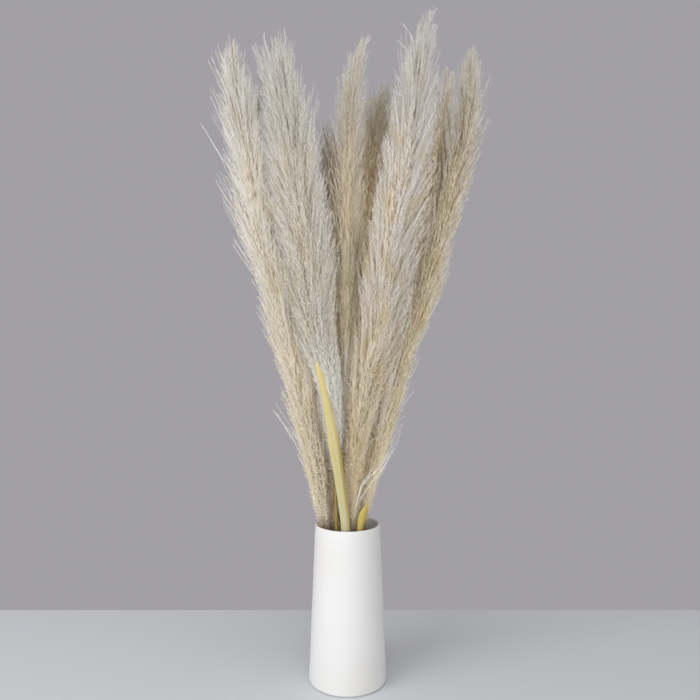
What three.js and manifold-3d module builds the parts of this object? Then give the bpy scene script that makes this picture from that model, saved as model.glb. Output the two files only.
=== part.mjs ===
// A bundle of dried pampas grass standing in a tapered white vase.
// Millimetres, +Z up. The origin is the centre of the vase's underside, and -Y is the front.
// Each stalk is one solid: a cane-like stem, a slim ridged core and the swept locks that make the plume.
import * as THREE from "three";
import { mergeVertices } from "three/addons/utils/BufferGeometryUtils.js";
import Module from "manifold-3d";

const wasm = await Module();
wasm.setup();

// Vase
const VASE_HEIGHT = 280;
const BASE_RADIUS = 69.7;
const RIM_RADIUS = 58.7;
const RIM_WALL = 4.4;
const FLOOR_WALL = 7.5;
const FLOOR_THICKNESS = 12;
const FLOOR_EDGE_WIDTH = 5;
const FLOOR_EDGE_HEIGHT = 6;
const BASE_EDGE_RADIUS = 5;
const VASE_SIDES = 40;
const EDGE_STEPS = 3;

// Stems
const SEAT_GAP = 0.3;
const FOOT_Z = FLOOR_THICKNESS + SEAT_GAP;
const STEM_RADIUS = 3;
const STEM_SIDES = 6;
const STEM_INTO_PLUME = 40;
const STEM_JOINT_BELOW = 6;
const FOOT_SPREAD = 0.38;

// Plumes
const NECK_Z = VASE_HEIGHT + 5;
const CORE_SHARE = 0.6;
const CORE_SIDES = 10;
const CORE_RINGS = 12;
const CORE_VALLEY = 0.7;
const CORE_TWIST = 0.5;
const CORE_LEAST = 5.2;
const CORE_TOP = 0.985;
const CORE_TAPER_FROM = 0.9;
const CORE_TAPER = 8;
const CORE_ROOM = 0.3;

// Locks of branches
const GOLDEN_ANGLE = Math.PI * (3 - Math.sqrt(5));
const LOCK_LENGTH = 150;
const TIP_LOCK_LENGTH = 75;
const LOCK_MIDDLE = 0.5;
const LOCK_WIDTHS = [6, 17];
const LOCK_HEIGHTS = [3, 6];
const LOCK_ROOM = [2, 4, 0.5];
const LOCK_SUNK = 0.45;
const LOCK_REACH = 0.8;
const LEAST_TIP_REACH = 0.92;
const MOST_TIP_REACH = 1.12;
const LEAST_LENGTH_SHARE = 0.8;
const MOST_LENGTH_SHARE = 1.2;
const FULL_LOCK_AT_REACH = 30;
const BELOW_PLUME_TIP = 4;
const CORNER_ROOM = 0.2;
const LOWEST_ROOT = 0;
const HIGHEST_ROOT = 0.9;
const LOCK_CROWDING = 0.92;
const LOCK_LEAN = 0.3;
const ANGLE_PLAY = 0.3;
const STRAY_MIDDLE_REACH = 0.85;
const STRAY_GIRTH = 0.7;

// Room that neighbours keep between them
const CLEARANCE = 0.7;
const LEAF_CLEARANCE = 1.2;
const BESIDE_LEAF = 3;
const ABOVE_LEAF = 10;
const ABOVE_NEIGHBOUR = 8;
const ABOVE_MOUTH = 9;
const CLEARING_PASSES = 3;
const MOUTH_ROOM = 1.5;
const MOUTH_RADIUS = RIM_RADIUS - RIM_WALL - MOUTH_ROOM;

// Edges shorter than this that a join leaves are closed up
const SLIVER = 0.25;
const MERGE_DISTANCE = 1e-3;

// One entry for each stalk: the seed of its draws, the height at which its plume begins, the number of its
// locks and rows of height, x and y of the centre line, and the reach of the plume round it. The last row
// is the tip. A stray is a lock that stands far out of the plume: the height of its root, then its tip.
const STALKS = [
  {
    name: "plume_far_left",
    seed: 110,
    base: 246,
    locks: 75,
    rows: [
      [NECK_Z, -41, -14, 9],
      [354, -52, -15, 20],
      [418, -66, -16, 28],
      [504, -82, -18, 31],
      [629, -111, -21, 35],
      [696, -126, -22, 37],
      [759, -146, -26, 39],
      [822, -161, -30, 40],
      [946, -181, -40, 39],
      [1028, -192, -45, 36],
      [1091, -202, -48, 26],
      [1144, -198, -50, 3],
    ],
    strays: [
      [850, [-249, -40, 985]],
      [930, [-236, -46, 1060]],
    ],
  },
  {
    name: "plume_left",
    seed: 210,
    base: 375,
    locks: 80,
    rows: [
      [NECK_Z, -21, -25, 5],
      [400, -22, -34, 7],
      [453, -24, -38, 12],
      [532, -32, -43, 20],
      [576, -40, -46, 27],
      [628, -53, -49, 37],
      [679, -63, -53, 43],
      [765, -70, -60, 53],
      [848, -82, -70, 57],
      [930, -92, -82, 53],
      [1002, -101, -90, 45],
      [1074, -113, -97, 33],
      [1118, -112, -100, 4],
    ],
  },
  {
    name: "plume_centre",
    seed: 300,
    base: 246,
    locks: 60,
    rows: [
      [NECK_Z, -1, -2, 7],
      [412, -3, 3, 16],
      [529, -3, 6, 22],
      [684, -3, 10, 27],
      [776, -1, 12, 30],
      [891, -1, 13, 33],
      [958, 3, 12, 31],
      [1039, 9, 9, 26],
      [1120, 18, 5, 18],
      [1164, 35, 3, 3],
    ],
  },
  {
    name: "plume_tall",
    seed: 400,
    base: 246,
    locks: 84,
    rows: [
      [NECK_Z, 8, -26, 7],
      [364, 11, -31, 14],
      [421, 15, -35, 20],
      [532, 30, -42, 28],
      [628, 51, -47, 37],
      [680, 59, -51, 42],
      [765, 69, -58, 44],
      [849, 84, -67, 44],
      [931, 99, -76, 45],
      [1005, 112, -84, 42],
      [1078, 121, -90, 31],
      [1126, 130, -94, 18],
      [1161, 137, -96, 3],
    ],
  },
  {
    name: "plume_right",
    seed: 510,
    base: 246,
    locks: 72,
    rows: [
      [NECK_Z, 27, -10, 9],
      [353, 38, -9, 18],
      [417, 55, -8, 23],
      [503, 76, -6, 25],
      [575, 96, -5, 25],
      [629, 115, -5, 27],
      [697, 136, -5, 31],
      [762, 154, -6, 34],
      [863, 178, -7, 35],
      [952, 202, -9, 32],
      [1041, 216, -11, 27],
      [1112, 220, -13, 15],
      [1140, 229, -14, 3],
    ],
    strays: [[955, [250, -13, 1078]]],
  },
  {
    name: "plume_back_centre",
    seed: 610,
    base: 246,
    locks: 54,
    rows: [
      [NECK_Z, 4, 25, 7],
      [406, 2, 40, 19],
      [527, 4, 54, 26],
      [689, 16, 70, 33],
      [885, 37, 92, 35],
      [985, 51, 100, 32],
      [1046, 59, 105, 26],
      [1096, 67, 108, 16],
      [1126, 72, 110, 3],
    ],
  },
  {
    name: "plume_back_right",
    seed: 710,
    base: 246,
    locks: 58,
    rows: [
      [NECK_Z, 24, 16, 7],
      [408, 46, 30, 19],
      [527, 72, 42, 26],
      [631, 96, 52, 30],
      [707, 114, 60, 33],
      [882, 152, 76, 37],
      [980, 173, 84, 35],
      [1079, 189, 90, 25],
      [1123, 194, 92, 15],
      [1153, 195, 93, 3],
    ],
  },
];

// Leaves: each stands on the vase's floor and leans on the front of its mouth.
// Its line is x, y and height at a few places, and its widths go with them.
const LEAVES = [
  {
    name: "leaf_long",
    line: [
      [-1, -22, FOOT_Z],
      [-3, -38, 150],
      [-4, -47, 284],
      [-14, -60, 370],
      [-22, -69, 425],
      [-31, -77, 479],
      [-41, -87, 529],
      [-50, -95, 566],
      [-52, -96, 573],
    ],
    widths: [9, 13, 16, 18, 20, 16, 12, 8, 2],
    arch: 3.4,
  },
  {
    name: "leaf_short",
    line: [
      [9, -20, FOOT_Z],
      [15, -31, 150],
      [22, -39, 280],
      [28, -41, 308],
      [35, -42, 325],
    ],
    widths: [8, 10, 11, 14, 2],
    arch: 3,
  },
];
const LEAF_THICKNESS = 1;
const STATIONS_PER_ROW = 2;
const LEAF_SPANS = 4;
const MOST_ARCH_SHARE = 0.22;

const COLOURS = {
  vase: { color: 0xf1f0ec, roughness: 0.62 },
  plume: { color: 0xcdc1a6, roughness: 0.92 },
  leaf: { color: 0xd9c87e, roughness: 0.55 },
};

// Repeatable draws between 0 and 1.
function randomFrom(seed) {
  let state = seed;
  return () => {
    state = (state + 0x6d2b79f5) | 0;
    let t = Math.imul(state ^ (state >>> 15), 1 | state);
    t = (t + Math.imul(t ^ (t >>> 7), 61 | t)) ^ t;
    return ((t ^ (t >>> 14)) >>> 0) / 4294967296;
  };
}

// A smooth curve through rows of [at, value, ...], read at any place along it.
function smooth(rows, at) {
  const last = rows.length - 1;
  let i = 0;
  while (i < last - 1 && at > rows[i + 1][0]) i++;
  const slope = (k, c) => {
    const a = rows[Math.max(k - 1, 0)];
    const b = rows[Math.min(k + 1, last)];
    return (b[c] - a[c]) / (b[0] - a[0]);
  };
  const span = rows[i + 1][0] - rows[i][0];
  const u = THREE.MathUtils.clamp((at - rows[i][0]) / span, 0, 1);
  const h = [2 * u ** 3 - 3 * u * u + 1, u ** 3 - 2 * u * u + u, 3 * u * u - 2 * u ** 3, u ** 3 - u * u];
  return rows[0].slice(1).map((_, k) => {
    const c = k + 1;
    const from = h[0] * rows[i][c] + h[1] * span * slope(i, c);
    return from + h[2] * rows[i + 1][c] + h[3] * span * slope(i + 1, c);
  });
}

// The place of a stalk's centre line at a height, and the reach of its plume there.
function stalkAt(stalk, z) {
  const [, neckX, neckY, reach] = stalk.rows[0];
  const foot = [FOOT_Z, neckX * FOOT_SPREAD, neckY * FOOT_SPREAD, reach];
  return smooth([foot, ...stalk.rows], Math.min(z, tipOf(stalk)));
}

function centreAt(stalk, z) {
  const [x, y] = stalkAt(stalk, z);
  return new THREE.Vector3(x, y, z);
}

function tipOf(stalk) {
  return stalk.rows.at(-1)[0];
}

// How far the plume reaches from its centre line at a height; the bare stem below it.
function reachAt(stalk, z) {
  const bare = STEM_RADIUS + CLEARANCE;
  return z < stalk.base ? bare : Math.max(bare, stalkAt(stalk, z)[2]);
}

// The place of a leaf's midrib at a height, and its width there.
function leafAt(leaf, z) {
  const rows = leaf.line.map(([x, y, height], i) => [height, x, y, leaf.widths[i]]);
  return smooth(rows, z);
}

// Moves a point back to its own stalk's side of the plane between it and a neighbour.
function clearOfStalk(stalk, other, point, margin) {
  const own = centreAt(stalk, point.z);
  const away = centreAt(other, point.z).sub(own);
  const distance = away.length();
  away.normalize();
  const ownReach = reachAt(stalk, point.z);
  const share = ownReach / (ownReach + reachAt(other, point.z));
  const most = distance * share - CLEARANCE - margin;
  const along = point.clone().sub(own).dot(away);
  if (along > most) point.addScaledVector(away, most - along);
}

// Moves a point behind a leaf that it would otherwise meet.
function clearOfLeaf(leaf, point, margin) {
  const [x, y, width] = leafAt(leaf, point.z);
  const beside = Math.abs(point.x - x) - width / 2;
  const back = y + leaf.arch + LEAF_THICKNESS + LEAF_CLEARANCE + margin;
  if (beside < margin + BESIDE_LEAF) point.y = Math.max(point.y, back);
}

// Moves a point in from the wall of the vase's mouth.
function clearOfMouth(point, margin) {
  const fromAxis = Math.hypot(point.x, point.y);
  const share = Math.min(1, (MOUTH_RADIUS - margin) / fromAxis);
  point.set(point.x * share, point.y * share, point.z);
}

// A point of a stalk, moved clear of every neighbour, both leaves and the vase's mouth.
function keptClear(stalk, point, margin) {
  for (let pass = 0; pass < CLEARING_PASSES; pass++) {
    for (const other of STALKS) {
      if (other !== stalk && point.z < tipOf(other) + ABOVE_NEIGHBOUR) {
        clearOfStalk(stalk, other, point, margin);
      }
    }
    for (const leaf of LEAVES) {
      if (point.z < leaf.line.at(-1)[2] + ABOVE_LEAF) clearOfLeaf(leaf, point, margin);
    }
    if (point.z < VASE_HEIGHT + ABOVE_MOUTH) clearOfMouth(point, margin);
  }
  return point;
}

// A closed surface through rings of points; a ring of one point closes to a tip.
function loft(rings) {
  const positions = rings.flat().flatMap((p) => [p.x, p.y, p.z]);
  const faces = [];
  let start = 0;
  rings.forEach((ring, r) => {
    const n = ring.length;
    if (r === 0) for (let i = 1; i < n - 1; i++) faces.push(start, start + i + 1, start + i);
    const next = rings[r + 1];
    const top = start + n;
    if (!next) {
      for (let i = 1; i < n - 1; i++) faces.push(start, start + i, start + i + 1);
    } else if (next.length === 1) {
      for (let i = 0; i < n; i++) faces.push(start + i, start + ((i + 1) % n), top);
    } else {
      for (let i = 0; i < n; i++) {
        const j = (i + 1) % n;
        faces.push(start + i, start + j, top + j, start + i, top + j, top + i);
      }
    }
    start = top;
  });
  return new wasm.Manifold(
    new wasm.Mesh({
      numProp: 3,
      vertProperties: new Float32Array(positions),
      triVerts: new Uint32Array(faces),
    }),
  );
}

// The bare cane from the vase's floor up into the core, cut level where it stands.
function stemOf(stalk) {
  const below = stalk.base - STEM_JOINT_BELOW;
  const heights = [FOOT_Z, (FOOT_Z + below) / 2, below, stalk.base + STEM_INTO_PLUME];
  return loft(
    heights.map((z) =>
      Array.from({ length: STEM_SIDES }, (_, i) => {
        const angle = (i / STEM_SIDES) * 2 * Math.PI;
        const c = centreAt(stalk, z);
        return c.add(new THREE.Vector3(Math.cos(angle), Math.sin(angle), 0).multiplyScalar(STEM_RADIUS));
      }),
    ),
  );
}

function coreRadius(stalk, z) {
  return Math.max(CORE_LEAST, CORE_SHARE * reachAt(stalk, z));
}

// The plume's heart: a slim body with ridges that wind slowly round it.
function coreOf(stalk) {
  const length = tipOf(stalk) - stalk.base;
  const rings = [];
  for (let r = 0; r < CORE_RINGS; r++) {
    const share = (r / (CORE_RINGS - 1)) * CORE_TOP;
    const z = stalk.base + length * share;
    const radius = coreRadius(stalk, z) * (1 - Math.max(0, share - CORE_TAPER_FROM) * CORE_TAPER);
    const ring = [];
    for (let i = 0; i < CORE_SIDES; i++) {
      const angle = (i / CORE_SIDES) * 2 * Math.PI + CORE_TWIST * share * Math.PI;
      const reach = radius * (i % 2 ? CORE_VALLEY : 1);
      const out = new THREE.Vector3(Math.cos(angle), Math.sin(angle), 0).multiplyScalar(reach);
      ring.push(keptClear(stalk, centreAt(stalk, z).add(out), CORE_ROOM));
    }
    rings.push(ring);
  }
  rings.push([centreAt(stalk, tipOf(stalk))]);
  return loft(rings);
}

// One swept lock of branches: it leaves the core, swells to its middle and ends in a point.
function lockOf(stalk, share, angle, lean, draw) {
  const length = tipOf(stalk) - stalk.base;
  const rootZ = stalk.base + length * share;
  const full = THREE.MathUtils.lerp(LOCK_LENGTH, TIP_LOCK_LENGTH, share ** 2);
  const drawn = full * THREE.MathUtils.lerp(LEAST_LENGTH_SHARE, MOST_LENGTH_SHARE, draw());
  const rise = Math.min(drawn, tipOf(stalk) - BELOW_PLUME_TIP - rootZ);
  const heights = [rootZ, rootZ + rise * LOCK_MIDDLE, rootZ + rise];
  const reaches = [
    coreRadius(stalk, heights[0]) * LOCK_SUNK,
    reachAt(stalk, heights[1]) * LOCK_REACH,
    reachAt(stalk, heights[2]) * THREE.MathUtils.lerp(LEAST_TIP_REACH, MOST_TIP_REACH, draw()),
  ];
  const girth = Math.min(1, reachAt(stalk, heights[1]) / FULL_LOCK_AT_REACH);
  const points = heights.map((z, k) => {
    const turned = angle + (lean * k) / 2;
    const out = new THREE.Vector3(Math.cos(turned), Math.sin(turned), 0);
    return keptClear(stalk, centreAt(stalk, z).addScaledVector(out, reaches[k]), LOCK_ROOM[k]);
  });
  return lockThrough(stalk, points, new THREE.Vector3(Math.cos(angle), Math.sin(angle), 0), girth);
}

// A lock that stands far out of the plume and ends at its own point.
function strayOf(stalk, [rootZ, tip]) {
  const end = new THREE.Vector3(...tip);
  const out = end.clone().sub(centreAt(stalk, end.z)).normalize();
  const middle = THREE.MathUtils.lerp(rootZ, end.z, LOCK_MIDDLE);
  const root = centreAt(stalk, rootZ).addScaledVector(out, coreRadius(stalk, rootZ) * LOCK_SUNK);
  const bend = centreAt(stalk, middle).addScaledVector(out, reachAt(stalk, middle) * STRAY_MIDDLE_REACH);
  return lockThrough(stalk, [root, bend, end], out, STRAY_GIRTH);
}

// The body of a lock through its root, its middle and its tip, with its ridge on the outward side.
function lockThrough(stalk, points, out, girth) {
  const rings = points.slice(0, 2).map((p, k) => {
    const ahead = points[k + 1].clone().sub(points[Math.max(k - 1, 0)]).normalize();
    const side = new THREE.Vector3().crossVectors(ahead, out).normalize();
    const face = new THREE.Vector3().crossVectors(side, ahead);
    const half = side.multiplyScalar((LOCK_WIDTHS[k] * girth) / 2);
    const ridge = face.multiplyScalar(LOCK_HEIGHTS[k] * girth);
    const corners = [p.clone().add(half), p.clone().sub(half), p.clone().add(ridge)];
    return corners.map((corner) => keptClear(stalk, corner, CORNER_ROOM));
  });
  return loft([...rings, [points[2]]]);
}

// The largest body of a fused solid, without sealed hollows or loose scraps.
function outerBody(solid) {
  return solid.decompose().reduce((best, body) => (body.volume() > best.volume() ? body : best));
}

// Whether every edge borders just two faces once its ends are read to a ten-thousandth of a millimetre.
function isSound(solid) {
  const { vertProperties, triVerts, numProp } = solid.getMesh();
  const keyOf = (v) => [0, 1, 2].map((c) => vertProperties[v * numProp + c].toFixed(4)).join();
  const borders = new Map();
  for (let t = 0; t < triVerts.length; t += 3) {
    const keys = [0, 1, 2].map((c) => keyOf(triVerts[t + c]));
    keys.forEach((key, c) => {
      const edge = [key, keys[(c + 1) % 3]].sort().join(" ");
      borders.set(edge, (borders.get(edge) ?? 0) + 1);
    });
  }
  return [...borders.values()].every((count) => count === 2);
}

// A whole stalk, drawn again from the next seed where its locks only graze one another.
function plumeOf(stalk) {
  for (let seed = stalk.seed; ; seed++) {
    const plume = plumeFrom(stalk, randomFrom(seed));
    if (isSound(plume)) return plume;
  }
}

function plumeFrom(stalk, draw) {
  const parts = [stemOf(stalk), coreOf(stalk)];
  for (let k = 0; k < stalk.locks; k++) {
    const along = ((k + draw()) / stalk.locks) ** LOCK_CROWDING;
    const share = THREE.MathUtils.lerp(LOWEST_ROOT, HIGHEST_ROOT, along);
    const angle = k * GOLDEN_ANGLE + ANGLE_PLAY * (draw() - 0.5);
    parts.push(lockOf(stalk, share, angle, LOCK_LEAN * (draw() - 0.5), draw));
  }
  for (const stray of stalk.strays ?? []) parts.push(strayOf(stalk, stray));
  return outerBody(wasm.Manifold.union(parts).simplify(SLIVER));
}

// A blade with an arched section, which tapers to its tip.
function leafOf(leaf) {
  const heights = leaf.line.map((row) => row[2]);
  const across = Array.from({ length: LEAF_SPANS + 1 }, (_, i) => (2 * i) / LEAF_SPANS - 1);
  const rings = [];
  for (let s = 0; s <= (heights.length - 1) * STATIONS_PER_ROW; s++) {
    const row = Math.min(Math.floor(s / STATIONS_PER_ROW), heights.length - 2);
    const z = THREE.MathUtils.lerp(heights[row], heights[row + 1], s / STATIONS_PER_ROW - row);
    const [x, y, width] = leafAt(leaf, z);
    const arch = Math.min(leaf.arch, width * MOST_ARCH_SHARE);
    const edge = (u, depth) => new THREE.Vector3(x + (u * width) / 2, y + arch * u * u + depth, z);
    const front = across.map((u) => edge(u, 0));
    const back = across.map((u) => edge(u, LEAF_THICKNESS));
    rings.push([...front, ...back.reverse()]);
  }
  return loft(rings);
}

function geometryOf(solid) {
  const mesh = solid.getMesh();
  const positions = new Float32Array(mesh.numVert * 3);
  for (let i = 0; i < mesh.numVert; i++) {
    positions.set(mesh.vertProperties.subarray(i * mesh.numProp, i * mesh.numProp + 3), i * 3);
  }
  const geometry = new THREE.BufferGeometry();
  geometry.setAttribute("position", new THREE.BufferAttribute(positions, 3));
  geometry.setIndex(new THREE.BufferAttribute(mesh.triVerts, 1));
  geometry.computeVertexNormals();
  return geometry;
}

// The vase's section turned round its axis: flat underside, rounded edge, tapered wall, round lip, inside.
function vaseGeometry() {
  const profile = new THREE.Path();
  const flat = BASE_RADIUS - BASE_EDGE_RADIUS;
  const lip = RIM_WALL / 2;
  profile.moveTo(0, 0);
  profile.lineTo(flat, 0);
  profile.absarc(flat, BASE_EDGE_RADIUS, BASE_EDGE_RADIUS, -Math.PI / 2, 0, false);
  profile.absarc(RIM_RADIUS - lip, VASE_HEIGHT - lip, lip, 0, Math.PI, false);
  const insideFoot = BASE_RADIUS - FLOOR_WALL;
  profile.lineTo(insideFoot, FLOOR_THICKNESS + FLOOR_EDGE_HEIGHT);
  profile.lineTo(insideFoot - FLOOR_EDGE_WIDTH, FLOOR_THICKNESS);
  profile.lineTo(0, FLOOR_THICKNESS);
  const points = profile.getPoints(EDGE_STEPS);
  const lathe = new THREE.LatheGeometry(points, VASE_SIDES);
  lathe.rotateX(Math.PI / 2);
  lathe.deleteAttribute("normal");
  lathe.deleteAttribute("uv");
  const merged = mergeVertices(lathe, MERGE_DISTANCE);
  merged.computeVertexNormals();
  return merged;
}

function meshOf(name, geometry, colour) {
  const mesh = new THREE.Mesh(geometry, new THREE.MeshStandardMaterial({ ...colour, metalness: 0 }));
  mesh.name = name;
  return mesh;
}

const bundle = new THREE.Group();
bundle.add(meshOf("vase", vaseGeometry(), COLOURS.vase));
for (const stalk of STALKS) {
  bundle.add(meshOf(stalk.name, geometryOf(plumeOf(stalk)), COLOURS.plume));
}
for (const leaf of LEAVES) {
  bundle.add(meshOf(leaf.name, geometryOf(leafOf(leaf)), COLOURS.leaf));
}

export default bundle;
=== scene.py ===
"""A bundle of dried pampas grass, standing loosely in a tapered matte white vase.

Everything is in metres, with the vase's flat underside on z = 0 and the front towards -Y.
"""

import logging
import math
from collections.abc import Callable
from dataclasses import dataclass, field
from enum import Enum

import bpy
import numpy as np
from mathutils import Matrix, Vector


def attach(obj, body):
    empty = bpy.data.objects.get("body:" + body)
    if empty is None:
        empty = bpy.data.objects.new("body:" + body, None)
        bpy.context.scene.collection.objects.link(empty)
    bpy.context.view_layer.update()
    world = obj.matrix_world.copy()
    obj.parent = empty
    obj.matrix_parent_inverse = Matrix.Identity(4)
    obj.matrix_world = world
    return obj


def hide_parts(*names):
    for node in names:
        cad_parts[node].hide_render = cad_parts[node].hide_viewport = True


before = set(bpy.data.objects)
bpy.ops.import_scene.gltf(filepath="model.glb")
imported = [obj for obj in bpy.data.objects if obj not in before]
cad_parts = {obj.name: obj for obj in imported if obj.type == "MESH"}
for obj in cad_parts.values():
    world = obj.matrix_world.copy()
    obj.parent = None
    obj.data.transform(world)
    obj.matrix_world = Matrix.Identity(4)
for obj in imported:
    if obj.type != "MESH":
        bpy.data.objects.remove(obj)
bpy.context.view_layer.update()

LOG = logging.getLogger("bundle")
BODY = "root"
GOLDEN_ANGLE = math.pi * (3 - math.sqrt(5))

Array = np.ndarray
Object = bpy.types.Object
Mesh = bpy.types.Mesh
Colour = tuple[float, float, float]
Point = tuple[float, float, float]
Pair = tuple[float, float]
Row = tuple[float, ...]


def metres(*rows: Row) -> tuple[Row, ...]:
    """Turns rows of millimetres into metres."""
    return tuple(tuple(n / 1000 for n in row) for row in rows)


def smooth_rows(rows: Array, at: Array) -> Array:
    """Reads a smooth curve through rows at any places along it.

    Args:
        rows: one row for each known place, its first number the place itself.
        at: the places to read, kept within the first and the last row's.

    Returns:
        One row of values for each place, without the place.
    """
    known = rows[:, 0]
    values = rows[:, 1:]
    at = np.clip(at, known[0], known[-1])
    i = np.clip(np.searchsorted(known, at, side="right") - 1, 0, len(known) - 2)
    before = np.maximum(np.arange(len(known)) - 1, 0)
    after = np.minimum(np.arange(len(known)) + 1, len(known) - 1)
    slopes = (values[after] - values[before]) / (known[after] - known[before])[:, None]
    span = (known[i + 1] - known[i])[:, None]
    u = (at[:, None] - known[i][:, None]) / span
    start = (2 * u**3 - 3 * u**2 + 1) * values[i] + (u**3 - 2 * u**2 + u) * span * slopes[i]
    end = (3 * u**2 - 2 * u**3) * values[i + 1] + (u**3 - u**2) * span * slopes[i + 1]
    return start + end


def eased(t: Array) -> Array:
    """Runs smoothly from 0 to 1 as t does, and stays there outside."""
    t = np.clip(t, 0, 1)
    return t * t * (3 - 2 * t)


def math_method(operation: str, turned: bool = False) -> Callable[["Term", object], "Term"]:
    """Makes the method of an operator.

    Args:
        operation: what the Math node does.
        turned: whether the term stands on the right.

    Returns:
        The method, which adds a Math node on its term and a value or another term.
    """

    def method(self: "Term", other: object) -> "Term":
        """The operation's result."""
        pair = (other, self) if turned else (self, other)
        return self.graph.add("ShaderNodeMath", dict(enumerate(pair)), operation=operation)

    return method


class Term:
    """A socket in an expression: each sum or product on it adds a Math node."""

    __add__ = math_method("ADD")
    __radd__ = math_method("ADD", turned=True)
    __sub__ = math_method("SUBTRACT")
    __rsub__ = math_method("SUBTRACT", turned=True)
    __mul__ = math_method("MULTIPLY")
    __rmul__ = math_method("MULTIPLY", turned=True)

    def __init__(self, graph: "Graph", socket: bpy.types.NodeSocket) -> None:
        """Wraps a node's output socket."""
        self.graph = graph
        self.socket = socket

    def __getitem__(self, name: str) -> "Term":
        """Another output of the same node."""
        return Term(self.graph, live_socket(self.socket.node.outputs, name))

    def __abs__(self) -> "Term":
        """The value without its sign."""
        return self.graph.add("ShaderNodeMath", {0: self}, operation="ABSOLUTE")

    def stepped(self, low: float, high: float) -> "Term":
        """Runs smoothly from 0 to 1 while this term runs from low to high."""
        values = {"Value": self, "From Min": low, "From Max": high}
        return self.graph.add("ShaderNodeMapRange", values, interpolation_type="SMOOTHSTEP")


def live_socket(sockets: object, key: str | int) -> bpy.types.NodeSocket:
    """Finds a node's socket by its number, or by its name among those in use.

    Args:
        sockets: the inputs or the outputs of a node.
        key: the socket's number or name.

    Returns:
        The socket.
    """
    if isinstance(key, int):
        return sockets[key]
    return next(s for s in sockets if s.enabled and s.name == key)


class Graph:
    """A node tree of a material or of geometry, with one method that adds any node."""

    def __init__(self, tree: bpy.types.NodeTree) -> None:
        """Wraps an empty node tree."""
        self.tree = tree

    def add(self, kind: str, inputs: dict | None = None, **settings: object) -> Term:
        """Adds a node.

        Args:
            kind: the node's type.
            inputs: a value or a term for each socket, by name or number.
            settings: what the node itself is set to, which comes first.

        Returns:
            The node's first output in use.
        """
        node = self.tree.nodes.new(kind)
        for name, value in settings.items():
            setattr(node, name, value)
        for key, value in (inputs or {}).items():
            socket = live_socket(node.inputs, key)
            for one in value if isinstance(value, list) else [value]:
                if isinstance(one, Term):
                    self.tree.links.new(one.socket, socket)
                else:
                    socket.default_value = one
        shown = [s for s in node.outputs if s.enabled]
        return Term(self, shown[0] if shown else None)

    def mix(self, share: object, first: Term | Colour, second: Term | Colour) -> Term:
        """Mixes two colours by a share from 0 to 1."""
        inputs = {"Factor": share, "A": rgba(first), "B": rgba(second)}
        return self.add("ShaderNodeMix", inputs, data_type="RGBA")

    def layered(self, colour: Term, *layers: tuple[Term, Colour]) -> Term:
        """Mixes further colours into a colour.

        Args:
            colour: the first colour.
            layers: the share and the colour of each further one, in order.

        Returns:
            The mixed colour.
        """
        for share, other in layers:
            colour = self.mix(share, colour, other)
        return colour

    def noise(self, scale: float | Point, detail: float, place: Term | None = None) -> Term:
        """A cloudy pattern from 0 to 1.

        Args:
            scale: how many clouds lie on a metre, in all directions alike or along each axis.
            detail: how many finer patterns lie in it.
            place: the coordinates it is made on, if not the piece's own.

        Returns:
            The pattern's value.
        """
        place = place or self.place()
        if isinstance(scale, tuple):
            place = self.add("ShaderNodeMapping", {"Vector": place, "Scale": scale})
            scale = 1.0
        return self.add("ShaderNodeTexNoise", {"Vector": place, "Scale": scale, "Detail": detail})

    def place(self) -> Term:
        """The piece's own coordinates."""
        return self.add("ShaderNodeTexCoord")["Object"]

    def attribute(self, name: str) -> Term:
        """A number that the mesh holds at each point."""
        return self.add("ShaderNodeAttribute", attribute_name=name)["Fac"]

    def bump(self, height: Term, strength: float, distance: float) -> Term:
        """The surface's direction on a pattern's small heights."""
        return self.add("ShaderNodeBump", {"Strength": strength, "Distance": distance, "Height": height})

    def surface(self, colour: Term | Colour, roughness: object, **more: object) -> Term:
        """Adds the shader of a surface.

        Args:
            colour: its colour, alike all over or changing.
            roughness: its roughness.
            more: its other inputs by their names, with _ for a space.

        Returns:
            The shader.
        """
        inputs = {"Base Color": rgba(colour), "Roughness": roughness}
        inputs |= {name.replace("_", " "): value for name, value in more.items()}
        return self.add("ShaderNodeBsdfPrincipled", inputs)


def rgba(colour: Term | Colour) -> Term | tuple[float, float, float, float]:
    """A plain colour with full cover, or a term as it is."""
    return (*colour, 1.0) if isinstance(colour, tuple) else colour


@dataclass(frozen=True)
class Finish:
    """A surface finish, made into a material once."""

    name: str

    def material(self) -> bpy.types.Material:
        """Finds the finish's material, or builds it the first time it is asked for.

        Returns:
            The material.
        """
        found = bpy.data.materials.get(self.name)
        if found:
            return found
        made = bpy.data.materials.new(self.name)
        made.use_nodes = True
        made.node_tree.nodes.clear()
        graph = Graph(made.node_tree)
        graph.add("ShaderNodeOutputMaterial", {"Surface": self.surface(graph)})
        return made

    def surface(self, graph: Graph) -> Term:
        """The finish's shader."""
        raise NotImplementedError


@dataclass(frozen=True)
class Earthenware(Finish):
    """Matte white fired clay with a faint grain."""

    pale: Colour = (0.71, 0.71, 0.70)
    warm: Colour = (0.68, 0.67, 0.64)
    # Near white for the inside wall: painted light where the plumes shade the mouth.
    inside_painted_light: Colour = (0.97, 0.97, 0.95)
    grains: float = 900.0
    specks: float = 260.0
    clouds: float = 9.0

    def surface(self, graph: Graph) -> Term:
        """Two whites in faint clouds, with a fine dry grain and painted light on the inside wall.

        Args:
            graph: the material's tree.

        Returns:
            The shader.
        """
        cloud = graph.noise(self.clouds, 3.0)
        grain = graph.noise(self.grains, 2.0)
        speck = graph.noise(self.specks, 1.0).stepped(0.66, 0.74)
        white = graph.mix(cloud.stepped(0.35, 0.75), self.pale, self.warm)
        # The inside wall is painted near white: painted light in the shaded mouth.
        white = graph.layered(white, (speck * 0.12, self.warm), (graph.attribute("inside"), self.inside_painted_light))
        bump = graph.bump(grain + cloud, 0.12, 0.0004)
        return graph.surface(white, 0.52 + cloud * 0.2, Normal=bump, IOR=1.45)


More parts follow.
